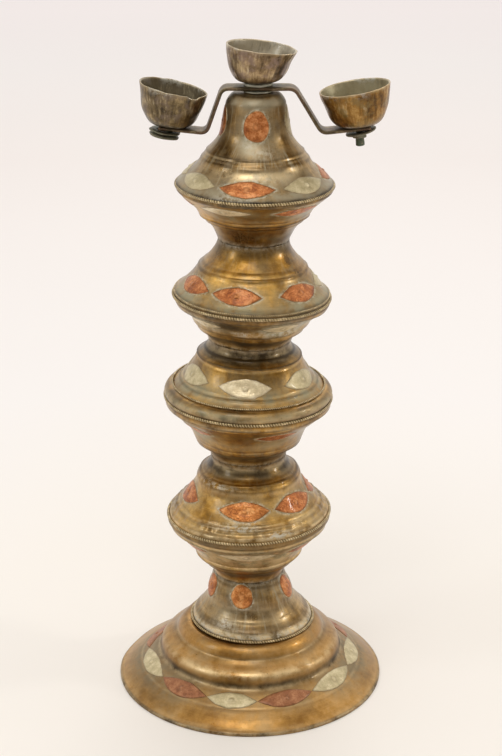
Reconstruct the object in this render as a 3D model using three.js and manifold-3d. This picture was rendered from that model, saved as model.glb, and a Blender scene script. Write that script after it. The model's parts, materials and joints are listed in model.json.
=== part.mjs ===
// Three-light brass candlestick: a stack of spun and soldered sheet brass sections
// on a stepped round foot, set with domed copper and white-metal plates. A bent
// strap bolted to the top bell carries a candle cup at each end, and a third cup
// sits over the bolt.
// Millimetres, +Z up. The origin is the centre of the foot, on the surface it stands on.
import * as THREE from 'three';
import { mergeVertices } from 'three/addons/utils/BufferGeometryUtils.js';
import Module from 'manifold-3d';

// Materials of the whole object
const SHEET = 1.2; // wall of the foot, the bells, the bowls and the shells
const FIT_GAP = 0.3; // between two pieces that touch
const ROUND_STEPS = 28; // facets round the large turned pieces
const CURVE_STEPS = 3; // facets along one bend of an outline

// Foot: a stepped dome on a rolled edge. The lip, the flange and the ledge say how far
// in from the edge they reach and how high they are there. A round roll stands on the
// ledge, and a shoulder climbs from its top to the seat of the foot bell.
const FOOT_RADIUS = 100;
const FOOT_HEIGHT = 45.7;
const LIP = { inset: 4, height: 3.4 };
const FLANGE = { inset: 28, height: 19.9 }; // the slope that carries the ring of almonds
const LEDGE = { inset: 32, height: 20.9 };
const ROLL_HEIGHT = 38.2;
const SHOULDER_WIDTH = 7.5;
const SEAT = { inset: 1, width: 3 }; // flat on top, its edge inside the edge of the foot bell

// Foot bell: the flared skirt between the foot and the lowest lobe
const FOOT_BELL = {
  offset: 0.8, radius: 48.5, height: 39.5, edgeHeight: 2.5,
  waistRadius: 32.1, waistHeight: 22, neckRadius: 26.5,
};

// Lobes from the lowest up. Each is a bowl and a shell joined at the rim. A collar
// is the small step in the outline; its height counts from the neck below the bowl,
// or from the rim of the shell. The band is the upright edge of the shell. The
// offset is how far the lobe stands to the right of the foot's centre, because the
// sections were soldered by eye.
const LOBE_4 = {
  name: '4', offset: -1, rimRadius: 61.2,
  bowlHeight: 48.6, bowlCollarRadius: 39.4, bowlCollarHeight: 15.6,
  shellHeight: 46.4, bandHeight: 1.5, shellCollarRadius: 38, shellCollarHeight: 31, neckRadius: 27.6,
};
const LOBE_3 = {
  name: '3', offset: -1.2, rimRadius: 61.7,
  bowlHeight: 45.7, bowlCollarRadius: 39, bowlCollarHeight: 12.6,
  shellHeight: 43.7, bandHeight: 8, shellCollarRadius: 38, shellCollarHeight: 31.8, neckRadius: 29.6,
};
const LOBE_2 = {
  name: '2', offset: 1.2, rimRadius: 57.2,
  bowlHeight: 32.2, bowlCollarRadius: 40.5, bowlCollarHeight: 11.5,
  shellHeight: 42, bandHeight: 3, shellCollarRadius: 37.8, shellCollarHeight: 22, neckRadius: 25.3,
};
const COLLAR_RISE = 2.5; // height of the step at each collar
const COLLAR_STEP = 1; // how far that step goes in or out
const BELLY = { inset: 2.5, drop: 7 }; // last bend of a bowl, inside and below its rim
const TOP_BOWL = { offset: 3.5, rimRadius: 56.3, height: 38.7, collarRadius: 38.5, collarHeight: 16 };

// Top bell: the upper half of the top lobe, from the rim to the flat crown
const TOP_BELL = {
  shoulderRadius: 38.2, shoulderHeight: 19, waistRadius: 24.2, waistHeight: 38,
  crownRadius: 19.9, crownHeight: 60.1, flatRadius: 13, height: 65,
};

// Rope edges: a milled wire round each rim, which the rim radii above include
const ROPE_RADIUS = 1.1;
const ROPE_SIDES = 5;
const ROPE_BAND = 2 * ROPE_RADIUS + FIT_GAP;

// Bolts, nuts and washers
const BOLT_RADIUS = 2.5;
const BOLT_HEAD_RADIUS = 5;
const BOLT_HEAD_HEIGHT = 2.4;
const BOLT_CLEARANCE = 0.5; // radial, in each drilled hole
const NUT = { radius: 5, height: 3.6 };
const NUT_SIDES = 6;
const THREAD_REACH = 2; // centre bolt beyond its nut
const HOLE_LENGTH = 10; // of the drill, enough to pass through any wall
const SMALL_STEPS = 16; // facets round bolts and holes
const TOP_BOLT_X = 5.5; // where the crown is drilled
const SEAT_WASHER = { radius: 10.4, thickness: 1.2 };
const CUP_WASHER = { radius: 10, thickness: 2 }; // between the bar and the centre cup

// Arms: one flat strap, bent down and out on both sides. All reaches count from the
// centre bolt, those of the foot of an arm from its knee.
const BAR_THICKNESS = 2.6;
const BAR_WIDTH = 16;
const BEND_RADIUS = 4.5;
const ARM_DROP = 30.8;
const LEFT_ARM = { shoulder: 24.6, knee: 35.5, footReach: 25.5, footEnd: 33, footSlope: 6 };
const RIGHT_ARM = { shoulder: 25.1, knee: 43.8, footReach: 25.7, footEnd: 33.7, footSlope: 6 };

// Candle cups: hammered bowls, made by eye. The slope of a rim is in degrees, positive
// where its right side is higher, and its shift is how far it stands right of the floor.
const CUP_WALL = 1;
const CUP_FLOOR_RADIUS = 6;
const CUP_FLARE = 0.18; // power of the curve from the floor to the rim
const CENTRE_CUP = { radius: 24, height: 24.2, rimSlope: -7.3, rimShift: 2.4 };
const LEFT_CUP = { radius: 23.5, height: 27.1, rimSlope: -6.2, rimShift: 0 };
const RIGHT_CUP = { radius: 24.5, height: 27, rimSlope: 3.8, rimShift: -0.6 };
const CUP_STEPS = 20; // facets round a cup
const CUP_RINGS = 6; // facets up the side of a cup

// Washers and nuts under the side cups
const LEFT_WASHER = { radius: 8.5, thickness: 1.2 };
const LEFT_NUT = { radius: 9, height: 3.2 }; // a thick round disc
const LEFT_BOLT_REACH = 0.5; // bolt beyond its nut
const RIGHT_WASHER = { radius: 10.4, thickness: 1.4 };
const RIGHT_BOLT_REACH = 6;

// Inlaid plates: the angle of each is counted from the front towards the right
const PLATE_RISE = 1.1; // crown of a plate over its edge
const PLATE_EDGE = 0.5; // thickness at its edge
const PLATE_LENGTH_STEPS = 6;
const ALMOND_WIDTH_STEPS = 2;
const OVAL_WIDTH_STEPS = 4;
const FOOT_PLATES = {
  tips: [-125, -91, -57, -24, 4, 36, 71, 103, 135, 169, 202], // angles where neighbours meet
  tipGap: 0.8, width: 13.3, drop: 4.1,
};
const FOOT_COPPER = [0, 2, 4, 7, 9]; // the other plates of that ring are white metal
const FOOT_BELL_PLATES = { angles: [-72, -11, 70, 142, 215], width: 16.5, height: 19, middle: 30.6 };
const TOP_ALMONDS = { angles: [-58, -7, 47, 99, 150, 201, 252], length: 40, width: 13.5, middle: 7.5 };
const TOP_OVALS = { angles: [-84, 1, 86, 180], width: 17.5, height: 22, middle: 47 };

const BRASS = { color: 0x7d6434, roughness: 0.42, metalness: 0.9 };
const FOOT_BRASS = { color: 0x94703c, roughness: 0.38, metalness: 0.9 };
const COPPER = { color: 0xb8683c, roughness: 0.45, metalness: 0.85 };
const WHITE_METAL = { color: 0xb4ae8c, roughness: 0.5, metalness: 0.7 };
const BAR_BRASS = { color: 0x7a6a4e, roughness: 0.5, metalness: 0.85 };
const CUP_BRASS = { color: 0x7f6c48, roughness: 0.5, metalness: 0.85 };
const SOLDER = { color: 0x9a9684, roughness: 0.6, metalness: 0.6 };
const OLD_STEEL = { color: 0x54503f, roughness: 0.65, metalness: 0.7 };

const wasm = await Module();
wasm.setup();
const candlestick = new THREE.Group();
const radians = THREE.MathUtils.degToRad;
const point = (radius, height) => new THREE.Vector2(radius, height);

function addPart(parent, name, geometry, finish) {
  const mesh = new THREE.Mesh(geometry, new THREE.MeshStandardMaterial(finish));
  mesh.name = name;
  parent.add(mesh);
  return mesh;
}

function groupAt(parent, x, z, lean = 0) {
  const group = new THREE.Group();
  group.position.set(x, 0, z);
  group.rotation.y = radians(lean);
  parent.add(group);
  return group;
}

// Points along one bend, from the start to the end, without the start itself
function bend(start, control, end) {
  return new THREE.QuadraticBezierCurve(start, control, end).getPoints(CURVE_STEPS).slice(1);
}

// A bend whose control point lies at these shares of the way across and up
function curve(start, end, across, up) {
  const control = point(
    THREE.MathUtils.lerp(start.x, end.x, across),
    THREE.MathUtils.lerp(start.y, end.y, up),
  );
  return bend(start, control, end);
}

// The same outline moved sideways, square to itself: inwards for one that runs upwards
function offsetOutline(outline, distance) {
  return outline.map((here, i) => {
    const before = outline[Math.max(i - 1, 0)];
    const after = outline[Math.min(i + 1, outline.length - 1)];
    const along = after.clone().sub(before).normalize();
    return point(here.x - along.y * distance, here.y + along.x * distance);
  });
}

// A turned sheet whose outer side is the outline, which runs upwards and is open at both ends
function turnedSheet(outline, wall, steps) {
  const inner = offsetOutline(outline, wall);
  const first = outline[0];
  const last = outline[outline.length - 1];
  inner[0].y = first.y;
  inner[inner.length - 1].y = last.y;
  const profile = [...outline, ...inner.reverse(), first.clone()];
  return new THREE.LatheGeometry(profile, steps).rotateX(Math.PI / 2);
}

// A turned solid from its outline, which starts and ends on the axis
function turnedSolid(outline, steps) {
  return new THREE.LatheGeometry(outline, steps).rotateX(Math.PI / 2);
}

function radiusAt(outline, height) {
  const upper = outline.findIndex((p, i) => i > 0 && p.y >= height);
  const above = outline[upper < 0 ? outline.length - 1 : upper];
  const below = outline[(upper < 0 ? outline.length - 1 : upper) - 1];
  const share = (height - below.y) / (above.y - below.y);
  return below.x + share * (above.x - below.x);
}

function toSolid(geometry) {
  const bare = geometry.clone();
  bare.deleteAttribute('normal');
  bare.deleteAttribute('uv');
  const merged = mergeVertices(bare, 1e-4);
  return new wasm.Manifold(new wasm.Mesh({
    numProp: 3,
    vertProperties: new Float32Array(merged.attributes.position.array),
    triVerts: new Uint32Array(merged.index.array),
  }));
}

function toGeometry(solid) {
  const mesh = solid.getMesh();
  const geometry = new THREE.BufferGeometry();
  geometry.setAttribute('position', new THREE.BufferAttribute(mesh.vertProperties, 3));
  geometry.setIndex(new THREE.BufferAttribute(mesh.triVerts, 1));
  return geometry;
}

// A bolt hole through the piece, centred at x and z and leaning with the bolt
function drill(geometry, x, z, length, lean = 0) {
  const radius = BOLT_RADIUS + BOLT_CLEARANCE;
  const bit = new THREE.CylinderGeometry(radius, radius, length, SMALL_STEPS);
  bit.rotateX(Math.PI / 2).rotateY(radians(lean)).translate(x, 0, z);
  return toGeometry(toSolid(geometry).subtract(toSolid(bit)));
}

// A domed plate that follows a turned surface. Its half width at each place along
// its length comes from the taper: a vesica for an almond, an ellipse for an oval.
function surfacePlate(outline, { angle, middle, length, width, upright, taper }) {
  const columns = PLATE_LENGTH_STEPS;
  const rows = upright ? OVAL_WIDTH_STEPS : ALMOND_WIDTH_STEPS;
  const positions = [];
  const slopeStep = 1;
  const low = radiusAt(outline, middle - slopeStep);
  const high = radiusAt(outline, middle + slopeStep);
  const slant = Math.hypot(high - low, 2 * slopeStep) / (2 * slopeStep);
  const place = (u, v, lift) => {
    const side = v * taper(u) * width / 2;
    const along = u * length / 2;
    const up = (upright ? along : side) / slant;
    const across = upright ? side : along;
    const height = middle + up;
    const radius = radiusAt(outline, height);
    const turn = radians(angle) + across / radiusAt(outline, middle);
    const reach = radius + FIT_GAP + lift;
    return [reach * Math.sin(turn), -reach * Math.cos(turn), height];
  };
  const crown = (u, v) => PLATE_EDGE + PLATE_RISE * (1 - u * u) * (1 - v * v);
  for (const top of [false, true]) {
    for (let i = 0; i <= columns; i += 1) {
      for (let j = 0; j <= rows; j += 1) {
        const u = (2 * i) / columns - 1;
        const v = (2 * j) / rows - 1;
        positions.push(...place(u, v, top ? crown(u, v) : 0));
      }
    }
  }
  const layer = (columns + 1) * (rows + 1);
  const index = [];
  const quad = (a, b, c, d) => index.push(a, b, c, a, c, d);
  const at = (i, j, top) => (top ? layer : 0) + i * (rows + 1) + j;
  for (let i = 0; i < columns; i += 1) {
    for (let j = 0; j < rows; j += 1) {
      quad(at(i, j, true), at(i + 1, j, true), at(i + 1, j + 1, true), at(i, j + 1, true));
      quad(at(i, j, false), at(i, j + 1, false), at(i + 1, j + 1, false), at(i + 1, j, false));
    }
    quad(at(i, 0, false), at(i + 1, 0, false), at(i + 1, 0, true), at(i, 0, true));
    quad(at(i, rows, true), at(i + 1, rows, true), at(i + 1, rows, false), at(i, rows, false));
  }
  const geometry = new THREE.BufferGeometry();
  geometry.setAttribute('position', new THREE.Float32BufferAttribute(positions, 3));
  geometry.setIndex(upright ? index.reverse() : index);
  return closedGeometry(geometry);
}

// Merges the points that meet at a tip and drops the triangles that this leaves flat
function closedGeometry(geometry) {
  const merged = mergeVertices(geometry, 1e-4);
  const source = merged.index.array;
  const kept = [];
  for (let i = 0; i < source.length; i += 3) {
    const [a, b, c] = source.slice(i, i + 3);
    if (a !== b && b !== c && c !== a) {
      kept.push(a, b, c);
    }
  }
  merged.setIndex(kept);
  return merged;
}

const almond = (u) => 1 - u * u;
const oval = (u) => Math.sqrt(Math.max(0, 1 - u * u));

function addPlate(parent, name, outline, plate, isCopper) {
  addPart(parent, name, surfacePlate(outline, plate), isCopper ? COPPER : WHITE_METAL);
}

function addRope(parent, name, rimRadius, height) {
  const ring = new THREE.TorusGeometry(rimRadius - ROPE_RADIUS, ROPE_RADIUS, ROPE_SIDES, ROUND_STEPS);
  ring.translate(0, 0, height);
  addPart(parent, name, ring, SOLDER);
}

function footOutline() {
  const inside = (inset, height) => point(FOOT_RADIUS - inset, height);
  const ledge = inside(LEDGE.inset, LEDGE.height);
  const seat = point(FOOT_BELL.radius - SEAT.inset, FOOT_HEIGHT);
  const rollTop = point(seat.x + SHOULDER_WIDTH, ROLL_HEIGHT);
  return [
    inside(0, 0),
    inside(0, LIP.height / 2),
    inside(LIP.inset / 3, LIP.height),
    inside(LIP.inset, LIP.height),
    inside(FLANGE.inset, FLANGE.height),
    ledge,
    ...curve(ledge, rollTop, 0.1, 0.75),
    ...curve(rollTop, seat, 0.3, 0.9),
    point(seat.x - SEAT.width, FOOT_HEIGHT),
  ];
}

// Foot, with the ring of almonds on its flange
function addFoot(parent) {
  const outline = footOutline();
  addPart(parent, 'base_foot', turnedSheet(outline, SHEET, ROUND_STEPS), FOOT_BRASS);
  const { tips, tipGap, width, drop } = FOOT_PLATES;
  const middle = FLANGE.height - drop;
  tips.forEach((start, i) => {
    const end = tips[i + 1] ?? tips[0] + 360;
    const length = radiusAt(outline, middle) * radians(end - start) - tipGap;
    const plate = { angle: (start + end) / 2, middle, length, width, upright: false, taper: almond };
    addPlate(parent, `foot_almond_${i + 1}`, outline, plate, FOOT_COPPER.includes(i));
  });
}

function footBellOutline() {
  const edgeRadius = FOOT_BELL.radius - ROPE_BAND;
  const edge = point(edgeRadius, FOOT_BELL.edgeHeight);
  const waist = point(FOOT_BELL.waistRadius, FOOT_BELL.waistHeight);
  const neck = point(FOOT_BELL.neckRadius, FOOT_BELL.height);
  return [point(edgeRadius, 0), edge, ...curve(edge, waist, 0.77, 0.58), ...curve(waist, neck, 0.36, 0.5)];
}

function addFootBell(parent) {
  const outline = footBellOutline();
  addPart(parent, 'foot_bell', turnedSheet(outline, SHEET, ROUND_STEPS), BRASS);
  addRope(parent, 'foot_bell_rope', FOOT_BELL.radius, ROPE_RADIUS);
  FOOT_BELL_PLATES.angles.forEach((angle, i) => {
    const plate = {
      angle, middle: FOOT_BELL_PLATES.middle, upright: true, taper: oval,
      length: FOOT_BELL_PLATES.height, width: FOOT_BELL_PLATES.width,
    };
    addPlate(parent, `foot_bell_oval_${i + 1}`, outline, plate, true);
  });
}

// Bowl: flares out of the neck below to its collar, then opens to the rim
function bowlOutline(lowerNeckRadius, rimRadius, height, collarRadius, collarHeight) {
  const edgeRadius = rimRadius - ROPE_BAND;
  const neck = point(lowerNeckRadius, 0);
  const collarFoot = point(collarRadius - COLLAR_STEP, collarHeight);
  const collarTop = point(collarRadius, collarHeight + COLLAR_RISE);
  const belly = point(edgeRadius - BELLY.inset, height - BELLY.drop);
  return [
    neck,
    ...curve(neck, collarFoot, 0.13, 0.55),
    collarTop,
    ...curve(collarTop, belly, 0.3, 0.52),
    point(edgeRadius, height - BELLY.drop / 3),
    point(edgeRadius, height),
  ];
}

// Shell: sweeps in from the band at the rim to its collar, then to the neck above
function shellOutline(lobe) {
  const edgeRadius = lobe.rimRadius - ROPE_BAND;
  const bandTop = point(edgeRadius - lobe.bandHeight / 3, lobe.bandHeight);
  const collar = point(lobe.shellCollarRadius, lobe.shellCollarHeight);
  const step = point(collar.x - COLLAR_STEP, collar.y + COLLAR_RISE);
  const neck = point(lobe.neckRadius, lobe.shellHeight);
  return [
    point(edgeRadius, 0),
    point(edgeRadius, lobe.bandHeight / 2),
    bandTop,
    ...curve(bandTop, collar, 0.78, 0.55),
    step,
    ...curve(step, neck, 1, 0.45),
  ];
}

function topBellOutline() {
  const edge = point(TOP_BOWL.rimRadius - ROPE_BAND, 0);
  const shoulder = point(TOP_BELL.shoulderRadius, TOP_BELL.shoulderHeight);
  const step = point(shoulder.x - COLLAR_RISE, shoulder.y + COLLAR_RISE);
  const waist = point(TOP_BELL.waistRadius, TOP_BELL.waistHeight);
  const crown = point(TOP_BELL.crownRadius, TOP_BELL.crownHeight);
  const flat = point(TOP_BELL.flatRadius, TOP_BELL.height);
  return [
    edge,
    ...curve(edge, shoulder, 0.67, 0.6),
    step,
    ...curve(step, waist, 0.7, 0.5),
    crown,
    ...curve(crown, flat, 0.2, 0.9),
    point(0, TOP_BELL.height),
  ];
}

// The bell is closed on top, so its profile starts and ends on the axis
function closedBell(outline) {
  const inner = offsetOutline(outline, SHEET);
  inner[0].y = outline[0].y;
  const crown = inner[inner.length - 1];
  crown.set(0, TOP_BELL.height - SHEET);
  inner[inner.length - 2].y = TOP_BELL.height - SHEET;
  return turnedSolid([...inner.reverse(), ...outline], ROUND_STEPS);
}

function addTopBell(parent) {
  const outline = topBellOutline();
  const holeX = TOP_BOLT_X - TOP_BOWL.offset;
  const bell = drill(closedBell(outline), holeX, TOP_BELL.height, HOLE_LENGTH);
  addPart(parent, 'top_bell', bell, BRASS);
  TOP_ALMONDS.angles.forEach((angle, i) => {
    const plate = {
      angle, middle: TOP_ALMONDS.middle, upright: false, taper: almond,
      length: TOP_ALMONDS.length, width: TOP_ALMONDS.width,
    };
    addPlate(parent, `top_almond_${i + 1}`, outline, plate, i % 2 === 1);
  });
  TOP_OVALS.angles.forEach((angle, i) => {
    const plate = {
      angle, middle: TOP_OVALS.middle, upright: true, taper: oval,
      length: TOP_OVALS.height, width: TOP_OVALS.width,
    };
    addPlate(parent, `top_oval_${i + 1}`, outline, plate, i !== 2);
  });
}

function boltGeometry(shankLength) {
  return turnedSolid([
    point(0, -shankLength),
    point(BOLT_RADIUS, -shankLength),
    point(BOLT_RADIUS, 0),
    point(BOLT_HEAD_RADIUS, 0),
    point(BOLT_HEAD_RADIUS, BOLT_HEAD_HEIGHT * 0.5),
    point(BOLT_HEAD_RADIUS * 0.6, BOLT_HEAD_HEIGHT),
    point(0, BOLT_HEAD_HEIGHT),
  ], SMALL_STEPS);
}

// A flat ring or a many-sided nut, bored to clear the bolt, standing on z = 0
function boredPlate(radius, thickness, sides) {
  const corners = [];
  for (let i = 0; i < sides; i += 1) {
    const turn = (i * 2 * Math.PI) / sides;
    corners.push(point(radius * Math.cos(turn), radius * Math.sin(turn)));
  }
  const shape = new THREE.Shape(corners);
  const bore = new THREE.Path();
  bore.absarc(0, 0, BOLT_RADIUS + FIT_GAP, 0, 2 * Math.PI, true);
  shape.holes.push(bore);
  const options = { depth: thickness, bevelEnabled: false, curveSegments: SMALL_STEPS / 2 };
  return new THREE.ExtrudeGeometry(shape, options);
}

// A bowl bored for its bolt. Its rim slopes, and stands a little to one side.
function cupGeometry({ radius, height, rimSlope, rimShift }) {
  const outline = [point(BOLT_RADIUS + BOLT_CLEARANCE, 0), point(CUP_FLOOR_RADIUS, 0)];
  for (let i = 1; i <= CUP_RINGS; i += 1) {
    const share = (i / CUP_RINGS) ** 1.5;
    outline.push(point(radius * share ** CUP_FLARE, height * share));
  }
  const inner = offsetOutline(outline, CUP_WALL);
  inner[0].set(outline[0].x, CUP_WALL);
  inner[1].set(CUP_FLOOR_RADIUS - CUP_WALL / 2, CUP_WALL);
  inner[inner.length - 1].y = height;
  const geometry = turnedSolid([...outline, ...inner.reverse(), outline[0].clone()], CUP_STEPS);
  const slope = Math.tan(radians(rimSlope));
  const position = geometry.attributes.position;
  for (let i = 0; i < position.count; i += 1) {
    const x = position.getX(i);
    const z = position.getZ(i);
    const share = z / height;
    position.setX(i, x + rimShift * share * share);
    position.setZ(i, z + x * slope * share * share);
  }
  return geometry;
}

// Centre line of one arm, from its shoulder bend to the end of its foot
function armLine(arm, side, barMiddle) {
  const slope = Math.tan(radians(arm.footSlope));
  const kneeHeight = barMiddle - ARM_DROP;
  const shoulder = point(side * arm.shoulder, barMiddle);
  const knee = point(side * arm.knee, kneeHeight);
  const end = point(side * (arm.knee + arm.footEnd), kneeHeight + arm.footEnd * slope);
  return [
    ...roundedCorner(point(0, barMiddle), shoulder, knee),
    ...roundedCorner(shoulder, knee, end),
    end,
  ];
}

function roundedCorner(before, corner, after) {
  const start = corner.clone().add(before.clone().sub(corner).setLength(BEND_RADIUS));
  const end = corner.clone().add(after.clone().sub(corner).setLength(BEND_RADIUS));
  return [start, ...bend(start, corner, end)];
}

// The bar is its side outline, drawn out to the bar's width, with three bolt holes
function barGeometry(barMiddle) {
  const left = armLine(LEFT_ARM, -1, barMiddle).reverse();
  const line = [...left, ...armLine(RIGHT_ARM, 1, barMiddle)];
  const top = offsetOutline(line, BAR_THICKNESS / 2);
  const bottom = offsetOutline(line, -BAR_THICKNESS / 2);
  const shape = new THREE.Shape([...bottom, ...top.reverse()]);
  const bar = new THREE.ExtrudeGeometry(shape, { depth: BAR_WIDTH, bevelEnabled: false });
  bar.rotateX(Math.PI / 2).translate(0, BAR_WIDTH / 2, 0);
  let drilled = drill(bar, 0, barMiddle, HOLE_LENGTH);
  for (const [arm, side] of [[LEFT_ARM, -1], [RIGHT_ARM, 1]]) {
    const seat = footSeat(arm, side, barMiddle);
    drilled = drill(drilled, seat.x, seat.y, HOLE_LENGTH, -side * arm.footSlope);
  }
  return drilled;
}

// Where a cup's bolt crosses the middle of the bar
function footSeat(arm, side, barMiddle) {
  const rise = arm.footReach * Math.tan(radians(arm.footSlope));
  return point(side * (arm.knee + arm.footReach), barMiddle - ARM_DROP + rise);
}

// A side cup with its bolt, washer and nut, on the foot of one arm
function addSideCup(parent, side, arm, barMiddle, { name, cup, washer, nut, nutSides, boltReach }) {
  const seat = footSeat(arm, side, barMiddle);
  const group = groupAt(parent, seat.x, seat.y, -side * arm.footSlope);
  const cupFloor = BAR_THICKNESS / 2 + FIT_GAP;
  addPart(group, `${name}_cup`, cupGeometry(cup), CUP_BRASS).position.z = cupFloor;
  const washerBottom = -cupFloor - washer.thickness;
  const ring = boredPlate(washer.radius, washer.thickness, SMALL_STEPS);
  addPart(group, `${name}_washer`, ring, OLD_STEEL).position.z = washerBottom;
  const nutBottom = washerBottom - FIT_GAP - nut.height;
  const bored = boredPlate(nut.radius, nut.height, nutSides);
  addPart(group, `${name}_nut`, bored, OLD_STEEL).position.z = nutBottom;
  const headSeat = cupFloor + CUP_WALL + FIT_GAP;
  const bolt = boltGeometry(headSeat - nutBottom + boltReach);
  addPart(group, `${name}_bolt`, bolt, OLD_STEEL).position.z = headSeat;
}

// The stack, built upwards from the seat on the foot
addFoot(candlestick);
let level = FOOT_HEIGHT + FIT_GAP;
addFootBell(groupAt(candlestick, FOOT_BELL.offset, level));
level += FOOT_BELL.height + FIT_GAP;
let lowerNeck = FOOT_BELL.neckRadius;
for (const lobe of [LOBE_4, LOBE_3, LOBE_2]) {
  const { name, offset, rimRadius, bowlHeight, bowlCollarRadius, bowlCollarHeight } = lobe;
  const bowl = bowlOutline(lowerNeck, rimRadius, bowlHeight, bowlCollarRadius, bowlCollarHeight);
  const bowlGroup = groupAt(candlestick, offset, level);
  addPart(bowlGroup, `bowl_${name}`, turnedSheet(bowl, SHEET, ROUND_STEPS), BRASS);
  level += bowlHeight + FIT_GAP;
  const shellGroup = groupAt(candlestick, offset, level);
  addPart(shellGroup, `shell_${name}`, turnedSheet(shellOutline(lobe), SHEET, ROUND_STEPS), BRASS);
  addRope(shellGroup, `rope_${name}`, rimRadius, 0);
  level += lobe.shellHeight + FIT_GAP;
  lowerNeck = lobe.neckRadius;
}
const { offset, rimRadius, height, collarRadius, collarHeight } = TOP_BOWL;
const topBowl = bowlOutline(lowerNeck, rimRadius, height, collarRadius, collarHeight);
const topBowlGroup = groupAt(candlestick, offset, level);
addPart(topBowlGroup, 'bowl_1', turnedSheet(topBowl, SHEET, ROUND_STEPS), BRASS);
level += height + FIT_GAP;
const bellGroup = groupAt(candlestick, offset, level);
addTopBell(bellGroup);
addRope(bellGroup, 'rope_1', rimRadius, 0);
level += TOP_BELL.height + FIT_GAP;

// What is bolted to the crown, built upwards round the bolt
const crownGroup = groupAt(candlestick, TOP_BOLT_X, level);
const seatWasher = boredPlate(SEAT_WASHER.radius, SEAT_WASHER.thickness, SMALL_STEPS);
addPart(crownGroup, 'seat_washer', seatWasher, SOLDER);
const barMiddle = SEAT_WASHER.thickness + FIT_GAP + BAR_THICKNESS / 2;
addPart(crownGroup, 'arm_bar', barGeometry(barMiddle), BAR_BRASS);
const cupWasherBottom = barMiddle + BAR_THICKNESS / 2 + FIT_GAP;
const cupWasher = boredPlate(CUP_WASHER.radius, CUP_WASHER.thickness, SMALL_STEPS);
addPart(crownGroup, 'cup_washer', cupWasher, SOLDER).position.z = cupWasherBottom;
const centreCupFloor = cupWasherBottom + CUP_WASHER.thickness + FIT_GAP;
addPart(crownGroup, 'centre_cup', cupGeometry(CENTRE_CUP), CUP_BRASS).position.z = centreCupFloor;
const centreHeadSeat = centreCupFloor + CUP_WALL + FIT_GAP;
const crownNutBottom = -FIT_GAP - SHEET - FIT_GAP - NUT.height;
const crownNut = boredPlate(NUT.radius, NUT.height, NUT_SIDES);
addPart(crownGroup, 'centre_nut', crownNut, OLD_STEEL).position.z = crownNutBottom;
const centreBolt = boltGeometry(centreHeadSeat - crownNutBottom + THREAD_REACH);
addPart(crownGroup, 'centre_bolt', centreBolt, OLD_STEEL).position.z = centreHeadSeat;
addSideCup(crownGroup, -1, LEFT_ARM, barMiddle, {
  name: 'left', cup: LEFT_CUP, washer: LEFT_WASHER, nut: LEFT_NUT, nutSides: SMALL_STEPS,
  boltReach: LEFT_BOLT_REACH,
});
addSideCup(crownGroup, 1, RIGHT_ARM, barMiddle, {
  name: 'right', cup: RIGHT_CUP, washer: RIGHT_WASHER, nut: NUT, nutSides: NUT_SIDES,
  boltReach: RIGHT_BOLT_REACH,
});

export default candlestick;
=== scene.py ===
import json
import math

import bpy
import numpy as np
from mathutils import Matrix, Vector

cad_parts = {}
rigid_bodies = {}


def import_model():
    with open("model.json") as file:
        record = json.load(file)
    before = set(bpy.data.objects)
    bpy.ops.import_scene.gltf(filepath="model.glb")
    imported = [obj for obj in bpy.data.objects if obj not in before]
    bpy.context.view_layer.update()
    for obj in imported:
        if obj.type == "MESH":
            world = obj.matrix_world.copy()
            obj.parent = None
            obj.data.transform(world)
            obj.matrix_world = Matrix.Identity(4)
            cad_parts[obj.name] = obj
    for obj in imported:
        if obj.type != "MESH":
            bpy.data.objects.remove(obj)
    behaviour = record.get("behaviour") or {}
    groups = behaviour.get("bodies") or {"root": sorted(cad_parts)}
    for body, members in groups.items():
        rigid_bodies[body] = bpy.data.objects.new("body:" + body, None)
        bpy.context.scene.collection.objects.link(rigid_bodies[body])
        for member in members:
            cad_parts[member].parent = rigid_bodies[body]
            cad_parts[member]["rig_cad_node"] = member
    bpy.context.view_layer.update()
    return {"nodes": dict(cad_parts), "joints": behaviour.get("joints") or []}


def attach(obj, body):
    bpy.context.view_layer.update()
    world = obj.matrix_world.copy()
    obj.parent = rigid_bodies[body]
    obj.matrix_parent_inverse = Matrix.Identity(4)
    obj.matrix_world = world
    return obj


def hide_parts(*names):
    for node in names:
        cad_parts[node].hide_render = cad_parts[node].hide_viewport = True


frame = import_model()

# Lengths are in millimetres in this file and become metres in the meshes.
MM = 0.001
TAU = 2 * math.pi
SHEET = 1.2
AROUND = 240  # points round a large turned piece
OUTLINE_STEP = 0.8  # spacing of the points up an outline
ROPE_RADIUS, ROPE_PITCH = 1.1, 2.0
NOTCH = 0.26  # depth of a rope's notches, as a share of its radius


def linear(colour):
    """A colour as a picture editor shows it, 0 to 255, made linear. One with an alpha is linear already."""
    if len(colour) == 4:
        return colour
    shares = [value / 255 for value in colour]
    return (*(share / 12.92 if share <= 0.04045 else ((share + 0.055) / 1.055) ** 2.4 for share in shares), 1.0)


def circle(count):
    """Angles evenly round a turn, in radians."""
    return np.arange(count) * TAU / count


def placed(name, data):
    thing = bpy.data.objects.new(name, data)
    bpy.context.collection.objects.link(thing)
    return thing


# Camera and lamps

def add_camera():
    camera = placed("camera", bpy.data.cameras.new("camera"))
    camera.data.sensor_width = 36
    camera.data.lens = 88.1
    camera.data.shift_x = 0.0012
    camera.location = (0, -1.252, 0.727)
    camera.rotation_euler = (math.radians(68.73), 0, 0)  # 21.3 degrees down
    bpy.context.scene.camera = camera


def add_lamp(name, place, size, energy, colour=(1, 1, 1), target=(0, 0, 0.25)):
    lamp = bpy.data.lights.new(name, "AREA")
    lamp.shape = "RECTANGLE"
    lamp.size, lamp.size_y = size
    lamp.energy = energy
    lamp.color = colour
    holder = placed(name, lamp)
    holder.location = place
    aim = np.array(target) - np.array(place)
    holder.rotation_euler = Vector(aim).to_track_quat("-Z", "Y").to_euler()


# Node graphs

COAT_ROUGHNESS = 0.1  # of the old lacquer and wax on the sheet metal


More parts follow.
